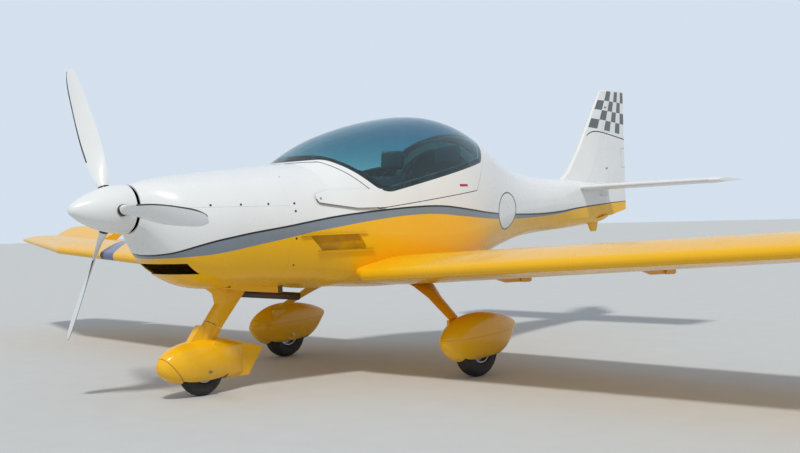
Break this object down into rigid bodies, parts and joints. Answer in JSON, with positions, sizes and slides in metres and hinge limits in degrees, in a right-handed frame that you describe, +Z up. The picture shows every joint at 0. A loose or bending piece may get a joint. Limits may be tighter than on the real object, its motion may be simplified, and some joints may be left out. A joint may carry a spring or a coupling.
{
  "type": "ultralight aircraft",
  "caption": "Two-seat low-wing ultralight aircraft with a tinted bubble canopy that tilts forward, a three-blade propeller and a spatted nosewheel gear.",
  "frame": {"origin": "on the ground under the middle of the aircraft's length, on its centre line", "axes": "+X to the nose, +Y to port along the wing, +Z up"},
  "size_m": [5.35, 9.4, 2.005],
  "materials": {
    "white_gelcoat": "gloss",
    "yellow_paint": "gloss",
    "tinted_glass": "gloss",
    "blade_white": "gloss",
    "dark_metal": "matte",
    "bare_alloy": "satin",
    "steel": "satin",
    "tyre_rubber": "matte",
    "seat_leather": "satin",
    "cream_lining": "matte",
    "panel_black": "matte"
  },
  "bodies": {
    "airframe": {"fuselage": "white_gelcoat", "firewall": "bare_alloy", "cabin_bulkhead": "panel_black", "cowl_upper": "white_gelcoat", "cowl_lower": "yellow_paint", "engine_block": "dark_metal", "canopy_pin_left": "steel", "canopy_pin_right": "steel", "wing_left": "yellow_paint", "wing_right": "yellow_paint", "stabilizer": "white_gelcoat", "fin": "white_gelcoat", "tail_skid": "yellow_paint", "main_leg_left": "yellow_paint", "main_leg_right": "yellow_paint", "main_axle_left": "steel", "main_axle_right": "steel", "main_spat_left": "yellow_paint", "main_spat_right": "yellow_paint", "nose_leg": "yellow_paint", "instrument_panel": "panel_black", "centre_console": "panel_black", "seat_cushion_left": "seat_leather", "seat_cushion_right": "seat_leather", "seat_back_left": "seat_leather", "seat_back_right": "seat_leather", "headrest_left": "seat_leather", "headrest_right": "seat_leather", "cabin_hoop": "cream_lining", "control_stick_left": "panel_black", "control_stick_right": "panel_black", "exhaust_pipe": "dark_metal"},
    "propeller": {"spinner": "white_gelcoat", "spinner_backplate": "bare_alloy", "propeller_hub": "steel", "propeller_blade_1": "blade_white", "propeller_blade_2": "blade_white", "propeller_blade_3": "blade_white"},
    "canopy": {"canopy_glass": "tinted_glass", "canopy_frame": "white_gelcoat"},
    "flap_left": {"flap_left": "yellow_paint"},
    "flap_right": {"flap_right": "yellow_paint"},
    "aileron_left": {"aileron_left": "yellow_paint"},
    "aileron_right": {"aileron_right": "yellow_paint"},
    "elevator": {"elevator": "white_gelcoat"},
    "rudder": {"rudder": "white_gelcoat"},
    "nose_gear": {"nose_fork": "yellow_paint", "nose_axle": "steel", "nose_spat": "yellow_paint"},
    "nose_wheel": {"nose_rim": "bare_alloy", "nose_tyre": "tyre_rubber"},
    "main_wheel_left": {"main_rim_left": "bare_alloy", "main_tyre_left": "tyre_rubber"},
    "main_wheel_right": {"main_rim_right": "bare_alloy", "main_tyre_right": "tyre_rubber"}
  },
  "joints": [
    {"name": "propeller_spin", "type": "hinge", "parent": "airframe", "child": "propeller", "pos_m": [2.435, 0, 1.063], "axis": [1, 0, 0], "continuous": true},
    {"name": "canopy_hinge", "type": "hinge", "parent": "airframe", "child": "canopy", "pos_m": [1.345, 0, 1.095], "axis": [0, 1, 0], "range_deg": [0, 40]},
    {"name": "flap_left_hinge", "type": "hinge", "parent": "airframe", "child": "flap_left", "pos_m": [0.20564, 2.13, 0.63628], "axis": [-0.0071, -0.998, -0.0628], "range_deg": [0, 40]},
    {"name": "flap_right_hinge", "type": "hinge", "parent": "airframe", "child": "flap_right", "pos_m": [0.20564, -2.13, 0.63628], "axis": [0.0071, -0.998, 0.0628], "range_deg": [0, 40]},
    {"name": "aileron_right_hinge", "type": "hinge", "parent": "airframe", "child": "aileron_right", "pos_m": [0.27438, -4.1, 0.82523], "axis": [-0.0775, -0.9946, 0.0697], "range_deg": [0, 66]},
    {"name": "aileron_left_hinge", "type": "hinge", "parent": "airframe", "child": "aileron_left", "pos_m": [0.27438, 4.1, 0.82523], "axis": [0.0775, -0.9946, -0.0697], "range_deg": [-66, 0]},
    {"name": "elevator_hinge", "type": "hinge", "parent": "airframe", "child": "elevator", "pos_m": [-2.175, 0, 1.165], "axis": [0, 1, 0], "range_deg": [-20, 25]},
    {"name": "rudder_hinge", "type": "hinge", "parent": "airframe", "child": "rudder", "pos_m": [-2.37, 0, 1.5], "axis": [0, 0, 1], "range_deg": [-25, 25]},
    {"name": "nose_steer", "type": "hinge", "parent": "airframe", "child": "nose_gear", "pos_m": [1.889, 0, 0.14], "axis": [-0.4262, 0, 0.9046], "range_deg": [-20, 20]},
    {"name": "nose_wheel_spin", "type": "hinge", "parent": "nose_gear", "child": "nose_wheel", "pos_m": [1.889, 0, 0.14], "axis": [0, 1, 0], "continuous": true},
    {"name": "main_wheel_left_spin", "type": "hinge", "parent": "airframe", "child": "main_wheel_left", "pos_m": [0.514, 0.887, 0.165], "axis": [0, 1, 0], "continuous": true},
    {"name": "main_wheel_right_spin", "type": "hinge", "parent": "airframe", "child": "main_wheel_right", "pos_m": [0.514, -0.887, 0.165], "axis": [0, 1, 0], "continuous": true}
  ],
  "couplings": [
    {"joint": "flap_right_hinge", "follows": "flap_left_hinge", "ratio": 1},
    {"joint": "aileron_left_hinge", "follows": "aileron_right_hinge", "ratio": -1}
  ]
}
